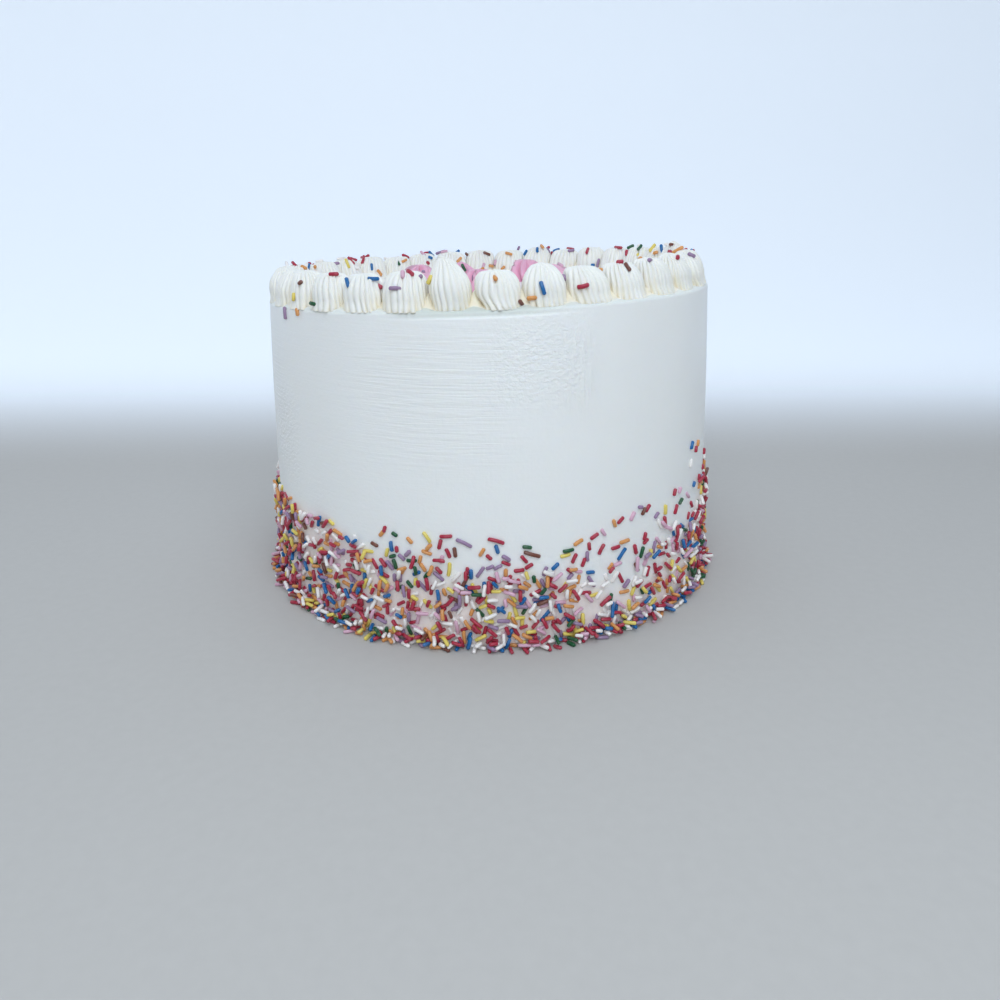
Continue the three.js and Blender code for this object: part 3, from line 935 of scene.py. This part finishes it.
def lay_wall(scatter, chance):
    """Presses sprinkles into the wall, thickest low down, with overlaps raised on each other."""
    laid, tried = 0, 0
    while laid < WALL_SPRINKLES and tried < WALL_TRIES * WALL_SPRINKLES:
        tried += 1
        degrees = chance.uniform(-180, 180)
        from_front = round_from(degrees, FRONT)
        if chance.random() > np.interp(from_front, *zip(*CROWDED)):
            continue
        thick, last = band_at(degrees)
        height = last * chance.random()
        above = (height - thick) / (last - thick)
        stray_end = STRAY_FRONT if abs(from_front) < STRAY_FRONT_ANGLE else 1.0
        if above > 0 and chance.random() > STRAY_SHARE * (1 - above / stray_end):
            continue
        middle, normal = wall_point(math.radians(degrees), height)
        round_wall = across(np.array([-normal[1], normal[0], 0.0]), normal)
        upward = np.cross(normal, round_wall)
        turn = chance.uniform(0, math.pi)
        length, shade = draw_length(chance), draw_colour(chance, WALL_PALE)
        for raised in WALL_RAISED:
            tilt = chance.uniform(-WALL_TILT, WALL_TILT) * (1 + 2 * raised)
            along = unit(math.cos(turn) * round_wall + math.sin(turn) * upward + tilt * normal)
            place = middle + normal * (SPRINKLE_RADIUS * chance.uniform(*WALL_PRESSED) + raised)
            lower_end = place[2] - abs(along[2]) * (length / 2 - SPRINKLE_RADIUS)
            if lower_end < SPRINKLE_RADIUS * SPRINKLE_THICKEST:
                break
            if scatter.lay(place, along, normal, length, shade, WALL_NEAREST):
                laid += 1
                break


def lay_foot(scatter, chance):
    """Drops sprinkles round the foot, lying on the level board or on one another."""
    laid, tried = 0, 0
    while laid < FOOT_SPRINKLES and tried < FOOT_TRIES * FOOT_SPRINKLES:
        tried += 1
        a = chance.uniform(-math.pi, math.pi)
        away = BASE_RADIUS + SPRINKLE_RADIUS + FOOT_REACH * chance.random() ** FOOT_THINNING
        turn = a + chance.uniform(0, math.pi)
        length, shade = draw_length(chance), draw_colour(chance, FOOT_PALE)
        for layer in range(FOOT_LAYERS):
            along = unit(level_way(turn) + UP * chance.uniform(-FOOT_TILT, FOOT_TILT) * layer)
            rise = (SPRINKLE_RADIUS * SPRINKLE_THICKEST + FOOT_LAYER * layer
                    + abs(along[2]) * (length / 2 - SPRINKLE_RADIUS))
            place = away * level_way(a) + UP * rise
            spine = scatter.spine_of(place, along, length)
            if (np.hypot(spine[:, 0], spine[:, 1]) < wall_radius(rise) + FOOT_CLEAR).any():
                break
            if scatter.lay(place, along, UP, length, shade, FOOT_NEAREST):
                laid += 1
                break


def lay_ring(scatter, chance, ground):
    """Scatters sprinkles over the dollops and the top, from above and from outside."""

    def land(start, direction):
        """Lays one where it first meets the cake."""
        hit, normal, _, _ = ground.ray_cast(Vector(start), Vector(direction))
        if hit is None:
            return
        normal = np.array(normal)
        way = level_way(chance.uniform(0, math.tau)) + UP * chance.uniform(-RING_TILT, RING_TILT)
        scatter.lay(np.array(hit) + normal * DROPPED_OUT, across(way, normal), normal,
                    draw_length(chance), draw_colour(chance), RING_NEAREST)

    each = OUTER_SPRINKLES_PER_DOLLOP + UPPER_SPRINKLES_PER_DOLLOP
    for i in range(DOLLOP_COUNT * each):
        a = chance.uniform(-math.pi, math.pi)
        if abs(round_from(math.degrees(a), FRONT)) < PLACED_FRONT_ANGLE:
            continue
        outward = level_way(a)
        if i % each < OUTER_SPRINKLES_PER_DOLLOP:
            height = CAKE_HEIGHT + chance.uniform(*THROW_HEIGHT)
            land(THROW_START * outward + UP * height, -outward)
        else:
            reach = DOLLOP_RING_RADIUS + chance.uniform(*DROP_ACROSS)
            land(reach * outward + UP * DROP_HEIGHT, -UP)
    for _ in range(TOP_SPRINKLES):
        outward = level_way(chance.uniform(-math.pi, math.pi))
        reach = TOP_SPRINKLES_REACH * math.sqrt(chance.random())
        land(reach * outward + UP * DROP_HEIGHT, -UP)


def sprinkle_form():
    """One sprinkle of radius 1 along Z, from -1 to 1 between the bends of its round ends."""
    bm = bmesh.new()
    bmesh.ops.create_uvsphere(bm, u_segments=SPRINKLE_SIDES, v_segments=5, radius=1)
    middle = [e for e in bm.edges if e.verts[0].co.z * e.verts[1].co.z < -1e-6]
    bmesh.ops.subdivide_edges(bm, edges=middle, cuts=1)
    bmesh.ops.recalc_face_normals(bm, faces=bm.faces)
    return mesh_of("sprinkle", bm)


def make_sprinkles(scatter, chance):
    """Joins all sprinkles of a colour into one piece."""
    form = sprinkle_form()
    x, y, z = points_of(form).T
    end = np.sign(np.round(z, 3))
    pieces = []
    for name, (code, _) in SPRINKLE_COLOURS.items():
        bm = bmesh.new()
        for middle, along, up, length in scatter.laid[name]:
            radius = SPRINKLE_RADIUS * chance.uniform(SPRINKLE_THINNEST, SPRINKLE_THICKEST)
            side = unit(np.cross(up, along))
            over = np.cross(along, side)
            # The form's middle is drawn out to the length, and bows a little to one side.
            far = z * radius * SPRINKLE_END + end * (length / 2 - radius * SPRINKLE_END)
            bow = chance.uniform(-SPRINKLE_BOW, SPRINKLE_BOW) * length
            bow = bow * (1 - (2 * far / length) ** 2)
            placed = middle + np.outer(x * radius + bow, side) + np.outer(y * radius, over)
            set_points(form, (placed + np.outer(far, along)) * MM)
            bm.from_mesh(form)
        sugar = sugar_sprinkle("glazed_sugar_" + name, code)
        piece = piece_of(mesh_of("sprinkles_" + name, bm), sugar)
        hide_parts("cake")
        pieces.append(piece)
    return pieces


# ---- The studio ----
def make_camera():
    """The camera, a little above the cake's top and close in front."""
    right, up, forward = camera_axes()
    data = bpy.data.cameras.new("camera")
    data.lens, data.sensor_width = CAMERA_LENS, CAMERA_SENSOR
    camera = bpy.data.objects.new("camera", data)
    bpy.context.collection.objects.link(camera)
    turn = Matrix(np.stack([right, up, -forward], 1).tolist()).to_4x4()
    camera.matrix_world = Matrix.Translation(Vector(CAMERA_PLACE) * MM) @ turn
    data.clip_start, data.clip_end = 0.01, 20
    bpy.context.scene.camera = camera


def make_floor():
    """A sweep of pale matt paper that curves up from the floor into a lit white backdrop."""
    material, tree, place = new_material("pale_paper")
    apart = add_node(tree, "ShaderNodeSeparateXYZ", {"Vector": place})
    back = span(tree, apart.outputs["Y"], 0.0, 1.0, BACKDROP_FADE, BACKDROP_FADE + BACKDROP_START,
                interpolation_type="SMOOTHSTEP")
    # The paper's own tooth, in patches of 3.3 mm.
    floor = blend(tree, add_noise(tree, place, grain(3.3), 2.0), "#BFBBB6", "#C4C0BB")
    finish_material(tree, {
        "Base Color": blend(tree, back, floor, "#F1F5FA"), "Roughness": 0.8,
        "Emission Color": colour("#DCE9FB"),
        "Emission Strength": combine(tree, "MULTIPLY", back, BACKDROP_GLOW)})
    bm = bmesh.new()
    line = [(FLOOR_FRONT, 0.0), (BACKDROP_START, 0.0)]
    line += [(BACKDROP_START + BACKDROP_CURVE * math.sin(a), BACKDROP_CURVE * (1 - math.cos(a)))
             for a in (math.radians(d) for d in range(6, 91, 6))]
    line.append((BACKDROP_START + BACKDROP_CURVE, BACKDROP_TOP))
    verts = [bm.verts.new((-FLOOR_SIDE, y, z)) for y, z in line]
    edges = [bm.edges.new(pair) for pair in zip(verts, verts[1:])]
    swept = bmesh.ops.extrude_edge_only(bm, edges=edges)["geom"]
    bmesh.ops.translate(bm, vec=(2 * FLOOR_SIDE, 0, 0),
                        verts=[part for part in swept if isinstance(part, bmesh.types.BMVert)])
    bmesh.ops.recalc_face_normals(bm, faces=bm.faces)
    piece_of(mesh_of("floor_and_backdrop", bm), material)


def make_room():
    """A room that lights softly but is seen as pale as the backdrop."""
    world = bpy.data.worlds.new("soft_room")
    world.use_nodes = True
    tree = world.node_tree
    tree.nodes.clear()
    seen = add_node(tree, "ShaderNodeLightPath").outputs["Is Camera Ray"]
    room = add_node(tree, "ShaderNodeBackground", {
        "Color": colour("#E5F1FC"), "Strength": span(tree, seen, ROOM_LIGHT, ROOM_SEEN)})
    add_node(tree, "ShaderNodeOutputWorld", {"Surface": room.outputs["Background"]})
    bpy.context.scene.world = world


def make_lights():
    """Large soft lights: one overhead, two in front and one at the side."""
    for name, place, aim, side, power in LIGHTS:
        light = bpy.data.lights.new(name, "AREA")
        light.shape, light.size, light.energy = "SQUARE", side, power
        light.color = colour("#E9F4FF")[:3]
        lamp = bpy.data.objects.new(name, light)
        bpy.context.collection.objects.link(lamp)
        lamp.location = place
        lamp.rotation_euler = (Vector(aim) - Vector(place)).to_track_quat("-Z", "Y").to_euler()


def ground_of(pieces):
    """What sprinkles can land on, in millimetres."""
    places, faces = [], []
    for piece in pieces:
        first = sum(len(p) for p in places)
        places.append(points_of(piece.data) / MM)
        faces += [[v + first for v in polygon.vertices] for polygon in piece.data.polygons]
    return BVHTree.FromPolygons([tuple(p) for p in np.concatenate(places)], faces)


def main():
    """Builds the cake's pieces from the inside out, then the studio round them."""
    chance = random.Random(SEED)
    make_camera()
    coat = make_coat(scraped_buttercream())
    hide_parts("cake")
    # The second colour of each is the painted shade in the grooves, at the feet and between
    # neighbours.
    dollops = make_dollops(piped_buttercream("piped_buttercream", "#F8F5EE", "#F8E9C6"),
                           piped_buttercream("pink_piped_buttercream", "#F0B6CD", "#E095B7"))
    ground = ground_of([coat] + dollops)
    scatter = Scatter()
    for placed in (RING_PLACED, BAND_PLACED):
        lay_placed(scatter, placed, ground)
    lay_ring(scatter, chance, ground)
    lay_wall(scatter, chance)
    lay_foot(scatter, chance)
    sprinkles = make_sprinkles(scatter, chance)
    for piece in [coat] + dollops + sprinkles:
        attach(piece, "root")
    make_floor()
    make_room()
    make_lights()
    bpy.context.scene.view_settings.view_transform = "Standard"


main()
